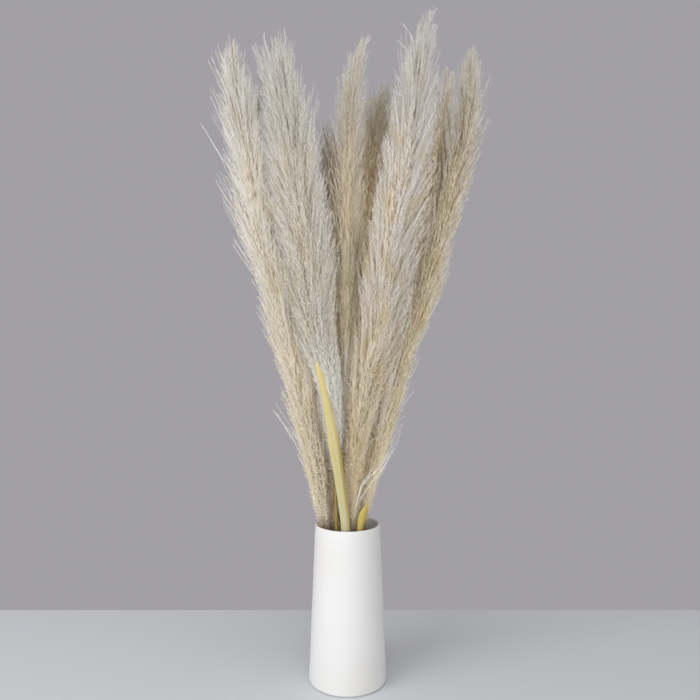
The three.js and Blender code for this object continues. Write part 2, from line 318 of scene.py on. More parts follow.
@dataclass(frozen=True)
class Fluff(Finish):
    """The fine dry hairs of a plume: pale at the outside, with painted shade darker and browner towards the
    heart.
    """

    pale: Colour
    mid: Colour
    # Deep: painted shade towards the plume's heart.
    deep: Colour
    # Low: the plumes' own golden foot, partly painted light that lifts their shaded lower parts.
    low: Colour
    low_share: float = 0.6
    top_painted_shade_share: float = 0.45
    patch_share: float = 0.42
    patch: Colour = (0.68, 0.55, 0.28)
    # Dark brown painted shade, for shaded tufts, shaded creases, the heart and the mouth.
    shade: Colour = (0.19, 0.12, 0.03)
    # White for the wisps' own colour, and painted light for the lit tufts.
    wisp_white_and_painted_light: Colour = (0.97, 0.96, 0.93)
    # Painted shade at the plumes' tops: greyer and darker.
    top_painted_shade: Colour = (0.60, 0.59, 0.56)
    dark_end: float = -0.05
    light_end: float = 0.68
    low_end: float = 0.34
    low_top: float = 0.92
    # Heights of painted shade in the vase's mouth.
    mouth: Pair = (0.268, 0.310)
    # Heights over which the painted shade at the top comes in.
    top: Pair = (0.86, 1.14)
    streaks: Point = (110.0, 110.0, 12.0)
    flecks: Point = (420.0, 420.0, 110.0)
    patches: Point = (42.0, 42.0, 15.0)
    needles: Point = (460.0, 460.0, 34.0)

    def surface(self, graph: Graph) -> Term:
        """Colours by hair and lock, by depth in the plume, by height and by slow patches, with painted shade
        inside, at the top and in the mouth, and painted light at the foot.

        Args:
            graph: the material's tree.

        Returns:
            The shader.
        """
        lock = graph.attribute("tint")
        hair = graph.attribute("hair")
        depth = graph.attribute("depth")
        height = graph.add("ShaderNodeSeparateXYZ", {"Vector": graph.place()})["Z"]
        streak = graph.noise(self.streaks, 2.0)
        fleck = graph.noise(self.flecks, 1.0)
        patch = graph.noise(self.patches, 1.0).stepped(0.52, 0.70)
        needle = graph.noise(self.needles, 2.0)
        grain = (fleck - 0.5) * (1.9 - height.stepped(0.35, 0.90) * 0.75)
        light = (lock * 0.12 + hair * 0.75 + streak * 0.25 + grain).stepped(self.dark_end, self.light_end)
        foot = (1.0 - height.stepped(self.low_end, self.low_top)) * self.low_share
        heart = depth.stepped(0.74, 0.88)
        colour = graph.layered(
            graph.mix(light, self.mid, self.pale),
            # The foot's own tone, partly painted light on the shaded lower plumes.
            (foot * (0.45 + light * 0.55), self.low),
            (patch * self.patch_share, self.patch),
            # Painted shade: the tops greyed and darkened.
            (height.stepped(*self.top) * self.top_painted_shade_share, self.top_painted_shade),
            # Painted shade deeper in the plume.
            (depth.stepped(0.40, 0.95) * 0.50, self.deep),
            # Tints below 0 give shaded tufts, shaded creases and the heart painted shade.
            ((0.0 - lock).stepped(0.1, 0.9) * 0.85, self.shade),
            # Painted strands on the heart: dark lines of painted shade between them, pale lines of hair.
            (heart * (1.0 - needle.stepped(0.36, 0.50)) * 0.62, self.shade),
            (heart * needle.stepped(0.50, 0.64) * 0.75, self.pale),
            # Painted shade low in the vase's mouth.
            ((1.0 - height.stepped(*self.mouth)) * 0.75, self.shade),
            # Tints above 1 turn white: the wisps' own white, and painted light on the lit tufts.
            ((lock - 1.0).stepped(0.1, 0.9), self.wisp_white_and_painted_light),
        )
        return graph.surface(colour, 0.72 + hair * 0.15, IOR=1.4, Sheen_Weight=0.4)


@dataclass(frozen=True)
class Cane(Finish):
    """The plume's golden, dry stem, streaked along its length."""

    light: Colour = (0.44, 0.30, 0.07)
    dark: Colour = (0.20, 0.12, 0.03)
    streaks: Point = (900.0, 900.0, 14.0)

    def surface(self, graph: Graph) -> Term:
        """Fine light and dark streaks along the stem.

        Args:
            graph: the material's tree.

        Returns:
            The shader.
        """
        streak = graph.noise(self.streaks, 3.0)
        colour = graph.mix(streak.stepped(0.35, 0.68), self.light, self.dark)
        return graph.surface(colour, 0.42 + streak * 0.2, Normal=graph.bump(streak, 0.3, 0.0003))


@dataclass(frozen=True)
class Straw(Finish):
    """A dried blade leaf: golden tip and edges, and a pale grey-cream middle near its foot."""

    gold: Colour
    cream: Colour
    centre: Colour
    # Ochre for the veins, and for the strip of painted shade along the far edge.
    ochre: Colour = (0.36, 0.26, 0.06)
    uv_name: str = "blade"
    veins: Pair = (30.0, 2.2)
    clouds: float = 30.0

    def surface(self, graph: Graph) -> Term:
        """Colours along and across the blade, with fine veins along it and a strip of painted shade along
        one edge.

        Args:
            graph: the material's tree.

        Returns:
            The shader.
        """
        uv = graph.add("ShaderNodeUVMap", uv_map=self.uv_name)
        parts = graph.add("ShaderNodeSeparateXYZ", {"Vector": uv})
        across = parts["X"]
        along = parts["Y"]
        lines = {"X": across * self.veins[0], "Y": along * self.veins[1]}
        vein = graph.noise(1.0, 3.0, graph.add("ShaderNodeCombineXYZ", lines))
        off_middle = abs(across * 2.0 - 1.0)
        foot = (1.0 - along.stepped(0.05, 0.72)) * (1.0 - off_middle.stepped(0.25, 0.8))
        # A strip of painted shade along the blade's far edge.
        shaded_side_strip = across.stepped(0.62, 0.90) * along.stepped(0.42, 0.58) * (1.0 - along.stepped(0.70, 0.85))
        colour = graph.layered(
            graph.mix(along.stepped(0.45, 0.98), self.cream, self.gold),
            (foot, self.centre),
            (off_middle.stepped(0.72, 1.0) * 0.5, self.gold),
            (shaded_side_strip * 0.85, self.ochre),
            (vein.stepped(0.45, 0.70) * 0.4, self.ochre),
        )
        roughness = 0.38 + graph.noise(self.clouds, 2.0) * 0.2
        return graph.surface(colour, roughness, Normal=graph.bump(vein, 0.35, 0.0004))


@dataclass(frozen=True)
class PlainGround(Finish):
    """The plain pale floor."""

    colour: Colour = (0.62, 0.64, 0.66)

    def surface(self, graph: Graph) -> Term:
        """One pale colour."""
        return graph.surface(self.colour, 0.7)


class Tone(Enum):
    """The plumes' colours: pale, middle, deep with painted shade towards the heart, and low, the foot's own
    tone partly lightened as painted light; then what is unusual.
    """

    CREAM = Fluff(
        "cream_fluff", (0.96, 0.93, 0.88), (0.76, 0.71, 0.59), (0.50, 0.41, 0.27), (0.88, 0.75, 0.49)
    )
    SILVER = Fluff(
        "silver_fluff", (0.90, 0.86, 0.78), (0.48, 0.44, 0.35), (0.50, 0.44, 0.34), (1.0, 0.99, 0.93),
        low_share=1.0, top_painted_shade_share=0.62, patch_share=0.34, low_end=0.53, low_top=0.63,
    )
    ROSE = Fluff(
        "rose_fluff", (0.98, 0.92, 0.79), (0.75, 0.65, 0.46), (0.84, 0.69, 0.42), (1.0, 0.88, 0.56),
        low_share=1.0, top_painted_shade_share=0.6, patch_share=0.35, dark_end=0.04, light_end=0.58, low_top=0.96,
    )
    BROWN = Fluff(
        "brown_fluff", (0.98, 0.87, 0.62), (0.33, 0.245, 0.11), (0.52, 0.38, 0.17), (1.0, 0.84, 0.48),
        low_share=0.9, top_painted_shade_share=0.72, dark_end=0.10, light_end=0.56, low_top=1.02,
        top_painted_shade=(0.34, 0.32, 0.27),
    )
    TAN = Fluff(
        "tan_fluff", (0.98, 0.90, 0.73), (0.25, 0.20, 0.11), (0.50, 0.39, 0.21), (1.0, 0.89, 0.60),
        low_share=1.0, top_painted_shade_share=0.15, dark_end=0.10, light_end=0.58, low_top=1.0,
    )
    PEARL = Fluff(
        "pearl_fluff", (0.91, 0.87, 0.81), (0.60, 0.55, 0.45), (0.46, 0.38, 0.26), (0.86, 0.71, 0.43),
        low_share=0.85, top_painted_shade_share=0.62, patch_share=0.62, low_top=0.78,
    )
    GOLD = Fluff(
        "gold_fluff", (0.94, 0.86, 0.69), (0.34, 0.28, 0.16), (0.50, 0.39, 0.20), (1.0, 0.89, 0.64),
        low_share=0.95, top_painted_shade_share=0.42, patch_share=0.6, dark_end=0.04, light_end=0.60,
    )


CANE = Cane("dry_cane")
CLAY = Earthenware("white_clay")
LONG_STRAW = Straw("long_straw", (0.60, 0.50, 0.21), (0.49, 0.46, 0.25), (0.48, 0.45, 0.32))
SHORT_STRAW = Straw("short_straw", (0.48, 0.38, 0.08), (0.42, 0.34, 0.09), (0.60, 0.54, 0.32))


def new_object(name: str, data: bpy.types.ID) -> Object:
    """Puts a mesh, a camera or a light in the scene.

    Args:
        name: the object's name.
        data: what it shows.

    Returns:
        The object, at the origin.
    """
    made = bpy.data.objects.new(name, data)
    bpy.context.scene.collection.objects.link(made)
    return made


def mesh_of(name: str, points: Array, faces: list, smooth: bool = True) -> Mesh:
    """Makes a mesh from points and faces.

    Args:
        name: the mesh's name.
        points: one row of x, y and z for each point.
        faces: the numbers of each face's points, counter-clockwise seen from outside.
        smooth: whether the faces are shaded as one round surface.

    Returns:
        The mesh.
    """
    mesh = bpy.data.meshes.new(name)
    mesh.from_pydata(points.tolist(), [], faces)
    mesh.polygons.foreach_set("use_smooth", np.full(len(mesh.polygons), smooth))
    mesh.validate()
    return mesh


def wall_faces(rings: int, sides: int) -> list[tuple[int, int, int, int]]:
    """Faces of a wall that closes round on itself.

    Args:
        rings: how many rings of points it stands on, one after the other.
        sides: how many points a ring has.

    Returns:
        The numbers of each face's points.
    """
    steps = [(s, (s + 1) % sides) for s in range(sides)]
    starts = range(0, (rings - 1) * sides, sides)
    return [(r + a, r + b, r + b + sides, r + a + sides) for r in starts for a, b in steps]


def bake(piece: Object) -> None:
    """Turns a piece's modifiers into its plain mesh.

    Args:
        piece: the object, which loses its modifiers.
    """
    graph = bpy.context.evaluated_depsgraph_get()
    made = bpy.data.meshes.new_from_object(piece.evaluated_get(graph), depsgraph=graph)
    piece.modifiers.clear()
    old = piece.data
    piece.data = made
    bpy.data.meshes.remove(old)


def hand_over(piece: Object, node: str) -> Object:
    """Lets a piece ride on the body.

    Args:
        piece: the finished object.
        node: the CAD node that it stands for.

    Returns:
        The same object.
    """
    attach(piece, BODY)
    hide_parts(node)
    return piece


@dataclass
class Vase:
    """The tapered vase: flat underside, rounded foot edge, thin round lip."""

    height: float = 0.280
    base_radius: float = 0.0697
    rim_radius: float = 0.0587
    rim_wall: float = 0.0044
    floor_wall: float = 0.0075
    floor_thickness: float = 0.012
    foot_edge: float = 0.005
    inner_edge: float = 0.006
    sides: int = 112
    wall_steps: int = 10
    arc_steps: tuple[int, int, int] = (8, 10, 6)

    def profile(self) -> Array:
        """Draws the vase's section from the underside's edge round to the floor's.

        Returns:
            One row of radius and height for each point.
        """
        lip = self.rim_wall / 2
        inside = self.base_radius - self.floor_wall - self.inner_edge
        bottom, top, corner = self.arc_steps
        foot = self.arc(self.base_radius - self.foot_edge, self.foot_edge, self.foot_edge, -90, 0, bottom)
        rim = self.arc(self.rim_radius - lip, self.height - lip, lip, 0, 180, top)
        edge = self.arc(inside, self.floor_thickness + self.inner_edge, self.inner_edge, 0, -90, corner)
        outer = np.linspace(foot[-1], rim[0], self.wall_steps + 1)[1:-1]
        inner = np.linspace(rim[-1], edge[0], self.wall_steps + 1)[1:-1]
        return np.vstack([foot, outer, rim, inner, edge])

    @staticmethod
    def arc(x: float, z: float, radius: float, start: float, end: float, steps: int) -> Array:
        """Points on an arc, its angles in degrees from the outward side."""
        angles = np.radians(np.linspace(start, end, steps + 1))
        return np.column_stack([x + radius * np.cos(angles), z + radius * np.sin(angles)])

    def build(self) -> Object:
        """Turns the section round the axis, closes the underside and the floor and marks the inside.

        Returns:
            The vase.
        """
        section = self.profile()
        rings = len(section)
        turn = np.linspace(0, 2 * math.pi, self.sides, endpoint=False)
        radius, height = section[:, :1], section[:, 1:]
        x, y = radius * np.cos(turn), radius * np.sin(turn)
        points = np.stack([x, y, np.broadcast_to(height, x.shape)], axis=-1).reshape(-1, 3)
        middles = np.array([[0, 0, 0], [0, 0, self.floor_thickness]])
        faces = wall_faces(rings, self.sides)
        under = rings * self.sides
        last = under - self.sides
        for s in range(self.sides):
            after = (s + 1) % self.sides
            faces += [(after, s, under), (last + s, last + after, under + 1)]
        piece = new_object("white_vase", mesh_of("white_vase", np.vstack([points, middles]), faces))
        # Marks the inside wall, which the clay paints lighter as painted light.
        inside = piece.data.attributes.new("inside", "FLOAT", "POINT")
        within = radius < self.rim_radius - self.rim_wall * 0.8
        within = within & (np.arange(rings)[:, None] > rings / 2)
        shares = np.append(np.broadcast_to(within, x.shape).ravel(), [False, True])
        inside.data.foreach_set("value", shares.astype(np.float32))
        piece.data.materials.append(CLAY.material())
        return hand_over(piece, "vase")


@dataclass
class Leaf:
    """A dried blade leaf that stands on the vase's floor and leans on its mouth.

    Each of its rows is a height, x, y and width.
    """

    name: str
    node: str
    finish: Straw
    rows: tuple[Row, ...]
    arch: float
    twist: float
    ripple: float = 0.0006
    ripple_turns: float = 31.0
    stations: int = 64
    spans: int = 12
    middle_thickness: float = 0.0009
    edge_thickness: float = 0.0003
    most_arch_share: float = 0.22

    def points(self, along: Array, u: Array) -> Array:
        """Points of the blade.

        Args:
            along: the stations, from 0 at the foot to 1 at the tip.
            u: places across the blade, from -1 to 1 on its front and back again on its rear.

        Returns:
            One row of x, y and z for each place at each station.
        """
        rows = np.array(self.rows)
        z = rows[0, 0] + (rows[-1, 0] - rows[0, 0]) * along
        x, y, width = smooth_rows(rows, z).T[:, :, None]
        arch = np.minimum(self.arch, width * self.most_arch_share)
        turn = (self.twist * along**2)[:, None]
        wave = self.ripple * np.sin(along * self.ripple_turns)[:, None] * np.abs(u) ** 3
        thick = self.edge_thickness + (self.middle_thickness - self.edge_thickness) * (1 - u**2)
        rear = np.repeat([0.0, 1.0], len(u) // 2)
        side = u * width / 2
        back = arch * u**2 + wave + rear * thick
        line = x + side * np.cos(turn) - back * np.sin(turn)
        depth = y + side * np.sin(turn) + back * np.cos(turn)
        return np.stack([line, depth, np.broadcast_to(z[:, None], side.shape)], axis=-1).reshape(-1, 3)

    def build(self) -> Object:
        """Closes the blade's skin at both its ends, maps it and hands it over.

        Returns:
            The leaf.
        """
        along = np.linspace(0, 1, self.stations)
        u = np.linspace(-1, 1, self.spans + 1)
        u = np.append(u, u[::-1])
        count = len(u)
        faces = wall_faces(self.stations, count)
        top = (self.stations - 1) * count
        for k in range(self.spans):
            rear = count - 1 - k
            faces += [(k + 1, k, rear, rear - 1), (top + k, top + k + 1, top + rear - 1, top + rear)]
        mesh = mesh_of(self.name, self.points(along, u), faces)
        uv = mesh.uv_layers.new(name=self.finish.uv_name)
        grid = np.stack(np.meshgrid((u + 1) / 2, along), axis=-1).reshape(-1, 2)
        corners = np.empty(len(mesh.loops), np.int32)
        mesh.loops.foreach_get("vertex_index", corners)
        uv.data.foreach_set("uv", grid[corners].ravel())
        mesh.materials.append(self.finish.material())
        return hand_over(new_object(self.name, mesh), self.node)


USUAL = {"away_x": 0.0, "away_y": 0.0, "depth": 0.0, "size": 1.0, "loose": 0.0, "thickness": 0.0}


class Guide(Enum):
    """What a guide line of a stalk becomes."""

    STRAND = 0
    CANE = 1
    HEART = 2


@dataclass
class Guides:
    """Lines that a stalk is grown on, with the numbers that go with each point."""

    lines: list[Array] = field(default_factory=list)
    kinds: list[Guide] = field(default_factory=list)
    values: dict[str, list[Array]] = field(default_factory=dict)

    def add(self, line: Array, kind: Guide, **values: object) -> None:
        """Adds a line.

        Args:
            line: one row of x, y and z for each point.
            kind: what grows on the line.
            values: a number for each point, or one for the whole line, where it isn't the usual one.
        """
        self.lines.append(line)
        self.kinds.append(kind)
        for name, value in (USUAL | values).items():
            self.values.setdefault(name, []).append(np.broadcast_to(value, len(line)))

    def mesh(self, name: str) -> Mesh:
        """Makes all the lines one mesh of edges, which holds the numbers as attributes.

        Args:
            name: the mesh's name.

        Returns:
            The mesh.
        """
        mesh = bpy.data.meshes.new(name)
        counts = np.array([len(line) for line in self.lines])
        start = np.delete(np.arange(counts.sum()), np.cumsum(counts) - 1)
        edges = np.column_stack([start, start + 1])
        mesh.from_pydata(np.vstack(self.lines).tolist(), edges.tolist(), [])
        kinds = np.repeat([kind.value for kind in self.kinds], counts - 1)
        mesh.attributes.new("kind", "INT", "EDGE").data.foreach_set("value", kinds.astype(np.int32))
        for key, rows in self.values.items():
            attribute = mesh.attributes.new(key, "FLOAT", "POINT")
            attribute.data.foreach_set("value", np.concatenate(rows).astype(np.float32))
        return mesh

    def hairy_length(self, bare_depth: float) -> float:
        """Measures all the strands together, apart from where they lie too deep for hairs.

        Args:
            bare_depth: the depth past which a strand is bare.

        Returns:
            Their length.
        """
        total = 0.0
        for line, kind, depth in zip(self.lines, self.kinds, self.values["depth"]):
            if kind is Guide.STRAND:
                steps = np.linalg.norm(np.diff(line, axis=0), axis=1)
                total += float(steps[(depth[1:] + depth[:-1]) / 2 < bare_depth].sum())
        return total


@dataclass(frozen=True)
class Wisp:
    """A single fine hair that leaves a plume: its root and its end, each x and z."""

    root: Pair
    end: Pair
    bow: float = 0.002
    front: float = 0.004


def wisps(*rows: Row) -> tuple[Wisp, ...]:
    """Wisps from rows of millimetres: the root, the end, and the bow and the front where they differ."""
    return tuple(Wisp(row[:2], row[2:4], *row[4:]) for row in metres(*rows))


@dataclass
class StalkTree(Graph):
    """The geometry tree that grows a stalk on its guide lines.

    Strands become thin stalks set with hairs, the cane a tapered stem, and the heart a slim body.
    """

    name: str = "grow_stalk"
    strand_radius: float = 0.00042
    strand_sides: int = 3
    cane_sides: int = 10
    heart_sides: int = 12
    hair_sides: int = 3
    strand_taper: float = 0.6
    hair_taper: Pair = (0.56, 0.15)
    straying: Pair = (0.85, 0.45)
    widths: Pair = (0.55, 1.15)
    lengths: Pair = (0.6, 1.3)
    numbers: tuple[str, ...] = ("Spacing", "Hair Length", "Hair Width", "Spread", "Lift", "Bare Depth")

    def __post_init__(self) -> None:
        """Builds the tree."""
        self.tree = bpy.data.node_groups.new(self.name, "GeometryNodeTree")
        sockets = [("Geometry", "Geometry"), *((name, "Float") for name in self.numbers)]
        sockets += [("Seed", "Int"), ("Fluff", "Material"), ("Cane", "Material")]
        face = self.tree.interface
        for name, kind in sockets:
            face.new_socket(name, in_out="INPUT", socket_type=f"NodeSocket{kind}")
        face.new_socket("Geometry", in_out="OUTPUT", socket_type="NodeSocketGeometry")
        self.given = self.add("NodeGroupInput")
        grown = self.add("GeometryNodeJoinGeometry", {0: [self.fluff(), self.cane()]})
        self.add("NodeGroupOutput", {"Geometry": grown})

    def named(self, name: str, kind: str = "FLOAT") -> Term:
        """A number that the guide lines hold."""
        return self.add("GeometryNodeInputNamedAttribute", {"Name": name}, data_type=kind)

    def compared(self, operation: str, kind: str, first: Term, second: object) -> Term:
        """Whether two numbers compare in a way."""
        inputs = {"A": first, "B": second}
        return self.add("FunctionNodeCompare", inputs, data_type=kind, operation=operation)

    def lines(self, kind: Guide) -> Term:
        """The guide lines of one kind, as curves."""
        same = self.compared("EQUAL", "INT", self.named("kind", "INT"), kind.value)
        return self.add("GeometryNodeMeshToCurve", {0: self.given["Geometry"], "Selection": same})

    def swept(self, line: Term, radius: Term, sides: int) -> Term:
        """Sweeps a closed tube along curves.

        Args:
            line: the curves.
            radius: the tube's radius at each point.
            sides: how many sides it has.

        Returns:
            The tubes.
        """
        sized = self.add("GeometryNodeSetCurveRadius", {"Curve": line, "Radius": radius})
        ring = self.add("GeometryNodeCurvePrimitiveCircle", {"Resolution": sides, "Radius": 1.0})
        radii = self.add("GeometryNodeInputRadius")
        inputs = {"Curve": sized, "Profile Curve": ring, "Scale": radii, "Fill Caps": True}
        return self.add("GeometryNodeCurveToMesh", inputs)

    def random(self, low: object, high: object, salt: int, kind: str = "FLOAT") -> Term:
        """A repeatable draw for each point."""
        inputs = {"Min": low, "Max": high, "Seed": self.given["Seed"] + salt}
        return self.add("FunctionNodeRandomValue", inputs, data_type=kind)

    def pushed(self, direction: Term, by: Term, start: Term) -> Term:
        """A direction's share added to a start."""
        inputs = {0: direction, 1: by, 2: start}
        return self.add("ShaderNodeVectorMath", inputs, operation="MULTIPLY_ADD")

    def share(self) -> Term:
        """How far along its curve a point lies, from 0 to 1."""
        return self.add("GeometryNodeSplineParameter")["Factor"]

    def spread(self) -> Term:
        """How far hairs stray from their strand's own direction, more towards its tip."""
        root, more = self.straying
        return self.given["Spread"] * (root + self.share() * more) * self.named("loose")

    def hairs(self, strands: Term) -> Term:
        """Sets sharp hairs along the strands, leaning outwards from their line.

        Args:
            strands: the strands' curves.

        Returns:
            The hairs, as instances that hold a number of their own.
        """
        given = self.given
        spaced = {0: strands, "Length": given["Spacing"]}
        spots = self.add("GeometryNodeResampleCurve", spaced, mode="LENGTH")
        away = {"X": self.named("away_x"), "Y": self.named("away_y"), "Z": 0.0}
        play = self.random((-1.0,) * 3, (1.0,) * 3, 1, "FLOAT_VECTOR")
        ahead = self.pushed(play, self.spread(), self.add("GeometryNodeInputTangent"))
        ahead = self.pushed(self.add("ShaderNodeCombineXYZ", away), given["Lift"], ahead)
        turned = self.add("FunctionNodeAlignRotationToVector", {"Vector": ahead}, axis="Z")
        shape = {"Vertices": self.hair_sides, "Radius Top": 0.0, "Radius Bottom": 1.0, "Depth": 1.0}
        cone = self.add("GeometryNodeMeshCone", shape, fill_type="NGON")
        slimmer = self.hair_taper[0] - self.share() * self.hair_taper[1]
        thick = given["Hair Width"] * self.random(*self.widths, 2) * self.named("size") * slimmer
        long = given["Hair Length"] * self.random(*self.lengths, 3) * self.named("size")
        scale = self.add("ShaderNodeCombineXYZ", {"X": thick, "Y": thick, "Z": long})
        shown = self.compared("LESS_THAN", "FLOAT", self.named("depth"), given["Bare Depth"])
        inputs = {"Points": spots, "Selection": shown, "Instance": cone, "Rotation": turned, "Scale": scale}
        set_on = self.add("GeometryNodeInstanceOnPoints", inputs)
        tinted = {"Geometry": set_on, "Name": "hair", "Value": self.random(0.0, 1.0, 4)}
        return self.add("GeometryNodeStoreNamedAttribute", tinted, data_type="FLOAT", domain="INSTANCE")

    def fluff(self) -> Term:
        """Grows the strands with their hairs, and the heart behind them.

        Returns:
            Their mesh, with its finish.
        """
        strands = self.lines(Guide.STRAND)
        radius = (1.0 - self.share() * self.strand_taper) * self.strand_radius
        stalks = self.swept(strands, radius, self.strand_sides)
        heart = self.swept(self.lines(Guide.HEART), self.named("thickness"), self.heart_sides)
        grown = self.add("GeometryNodeJoinGeometry", {0: [stalks, heart, self.hairs(strands)]})
        real = self.add("GeometryNodeRealizeInstances", {0: grown})
        return self.add("GeometryNodeSetMaterial", {0: real, "Material": self.given["Fluff"]})

    def cane(self) -> Term:
        """The stem."""
        stem = self.swept(self.lines(Guide.CANE), self.named("thickness"), self.cane_sides)
        return self.add("GeometryNodeSetMaterial", {0: stem, "Material": self.given["Cane"]})

    def grow(self, piece: Object, **values: object) -> None:
        """Grows the stalk on a piece's guide lines and leaves its plain mesh.

        Args:
            piece: the object that holds the guide lines.
            values: what each named input is set to, with _ for a space.
        """
        modifier = piece.modifiers.new("grown", "NODES")
        modifier.node_group = self.tree
        sockets = {s.name: s.identifier for s in self.tree.interface.items_tree if s.in_out == "INPUT"}
        for name, value in values.items():
            modifier[sockets[name.replace("_", " ")]] = value
        bake(piece)


class Tuft(Enum):
    """The tufts' kinds: how light, how many strands, how far apart and how large their hairs."""

    OUTLINE = (0.9, 3, 1.0, 0.6)
    FILLER = (0.5, 8, 1.8, 0.9)
    SHADED = (-0.8, 8, 1.8, 0.8)
    LIT = (1.6, 8, 1.8, 0.9)
    # Thin dark lines of painted shade where plumes meet.
    SHADED_CREASE = (-0.9, 3, 0.7, 0.7)
    CROWN = (0.7, 6, 1.6, 0.9)


@dataclass
class Stalk:
    """A stalk of the grass: its cane and the plume round its upper part.

    Each of its rows is a height, x, y and the plume's reach, and each tuft or shaded crease an x and z.
    """

    name: str
    tone: Tone
    seed: int
    rows: tuple[Row, ...]
    base: float = 0.246
    tufts: tuple[Pair, ...] = ()
    fillers: tuple[Pair, ...] = ()
    shaded_tufts: tuple[Pair, ...] = ()
    lit_tufts: tuple[Pair, ...] = ()
    shaded_creases: tuple[Pair, ...] = ()
    wisps: tuple[Wisp, ...] = ()
    crown: int = 0
    crown_drop: Pair = (0.022, 0.125)
    crown_width: float = 0.68
    shaded_below: float = 0.0
    shaded_tint: float = -0.55
    locks: int = 200
    hairs: int = 29500
    strands: tuple[int, int] = (5, 7)
    full_locks: float = 0.75
    full_reach: Pair = (0.80, 1.0)
    short_reach: Pair = (0.45, 0.8)
    lowest_lock: float = 0.03
    crowding: float = 0.55
    side_play: float = 0.3
    length_play: Pair = (0.8, 1.25)
    strand_play: Pair = (0.75, 1.1)
    reach_play: Pair = (0.8, 1.05)
    stray_play: Pair = (0.4, 1.3)
    lock_scatter: float = 0.020
    lock_turn: float = 0.45
    lock_curl: float = 0.006
    beyond: Pair = (0.0055, 0.0025)
    foot: float = 0.0123
    foot_spread: float = 0.38
    mouth_radius: float = 0.0500
    mouth_top: float = 0.286
    mouth_blend: float = 0.02
    lowest_root: float = 0.150
    lengths: Pair = (0.150, 0.060)
    strand_points: int = 4
    strand_waver: float = 0.0007
    end_below_tip: float = 0.6
    finer_top: float = 0.25
    finer_end: Pair = (1.05, 0.3)
    root_below: float = 0.01
    high_base: float = 0.3
    tint_play: float = 0.2
    bow: float = 0.85
    most_curl: float = 0.35
    most_stray: float = 0.25
    bare_depth: float = 0.74
    hair_length: float = 0.0125
    hair_width: float = 0.0018
    hair_stands: float = 0.003
    spread: float = 0.42
    lift: float = 0.13
    loose_foot: float = 1.1
    loose_top: float = 0.95
    heart_points: int = 24
    heart_least: float = 0.0008
    heart_start: float = 0.02
    heart_share: float = 0.40
    heart_stop: float = 0.07
    heart_ends: float = 0.08
    cane_points: int = 30
    cane_radius: Pair = (0.003, 0.0005)
    cane_stop: float = 0.09
    tuft_lengths: Pair = (0.09, 0.13)
    tuft_curl: float = 0.005
    tuft_scatter: Point = (0.0025, 0.003, 0.006)
    wisp_root: float = 0.06
    wisp_points: int = 6
    wisp_hairs: int = 2
    wisp_size: float = 0.22
    wisp_tint: float = 2.0
    wisp_scatter: float = 0.0014
    wisp_wave: float = 0.0009
    wisp_waves: Pair = (4, 8)
    wisp_forward: float = 0.002

    def __post_init__(self) -> None:
        """Adds the foot, nearer the axis, below the first row."""
        _, x, y, reach = self.rows[0]
        foot = (self.foot, x * self.foot_spread, y * self.foot_spread, reach)
        self.table = np.array([foot, *self.rows])
        self.tip = self.table[-1, 0]
        self.draw = np.random.default_rng(self.seed)
        self.guides = Guides()

    def at(self, z: Array) -> tuple[Array, Array]:
        """Reads the stalk's shape.

        Args:
            z: some heights.

        Returns:
            The centre line and the plume's reach at them.
        """
        read = smooth_rows(self.table, z)
        centre = np.column_stack([read[:, :2], z])
        return centre, np.maximum(read[:, 2] - self.hair_stands, read[:, 2] * 0.6 + 0.001)

    def looseness(self, z: Array) -> Array:
        """How much more than at the top the hairs stray at some heights."""
        return 1 + self.loose_foot * (1 - eased((z - self.base) / (self.loose_top - self.base)))

    def in_mouth(self, line: Array) -> Array:
        """Draws what lies low in from the vase's wall.

        Args:
            line: one row of x, y and z for each point, which is changed.

        Returns:
            The same line.
        """
        from_axis = np.hypot(line[:, 0], line[:, 1])
        low = eased((self.mouth_top + self.mouth_blend - line[:, 2]) / self.mouth_blend)
        share = np.minimum(1, self.mouth_radius / np.maximum(from_axis, 1e-6))
        line[:, :2] *= (1 - low * (1 - share))[:, None]
        return line

    def add_strand(self, end: Array, length: float, tint: float, curl: float, fine: float) -> None:
        """Adds a strand that leaves the cane and bends outwards to its end.

        Args:
            end: its end point.
            length: how far it rises from the cane to its end.
            tint: how light it is, from 0 to 1; below 0 painted shade, above 1 white, the wisps' own white
                and the lit tufts' painted light.
            curl: how far its end bends aside.
            fine: the size of its hairs.
        """
        draw = self.draw
        lowest = self.base - self.root_below if self.base > self.high_base else self.lowest_root
        root = max(end[2] - length, lowest)
        if end[2] < self.shaded_below:
            tint = self.shaded_tint
        t = np.linspace(0, 1, self.strand_points)
        z = root + (end[2] - root) * t
        centre, limit = self.at(z)
        out = end[:2] - centre[-1, :2]
        radius = float(np.hypot(*out))
        away = out / max(radius, 1e-6)
        line = centre.copy()
        off = radius * (0.05 + 0.95 * t**self.bow)
        most = limit + 0.001 + max(radius - limit[-1], 0) * t**3
        line[:, :2] += away * np.minimum(off, most)[:, None]
        aside = np.array([-away[1], away[0]]) * draw.uniform(-1, 1)
        line[:, :2] += (aside * curl)[None, :] * (t**3)[:, None]
        waver = draw.normal(0, self.strand_waver, line.shape)
        line += waver * (np.minimum(1, 4 * t) * self.looseness(z))[:, None]
        depth = 1 - radius * t**self.bow / np.maximum(limit, radius * 0.6)
        self.guides.add(
            self.in_mouth(line),
            Guide.STRAND,
            away_x=away[0],
            away_y=away[1],
            tint=np.clip(tint + draw.uniform(-self.tint_play, self.tint_play), -1, max(1, tint)),
            depth=np.clip(depth, 0, 1),
            size=(self.finer_end[0] - self.finer_end[1] * t) * fine,
            loose=self.looseness(z),
        )

    def lock_heights(self) -> Array:
        """Draws heights at which locks end, closer together where the plume is wide.

        Returns:
            One height for each lock.
        """
        z = np.linspace(self.base + self.lowest_lock, self.tip, 400)
        _, reach = self.at(z)
        weight = np.cumsum(reach**self.crowding)
        at = (np.arange(self.locks) + self.draw.random(self.locks)) / self.locks
        return np.interp(at, weight / weight[-1], z)

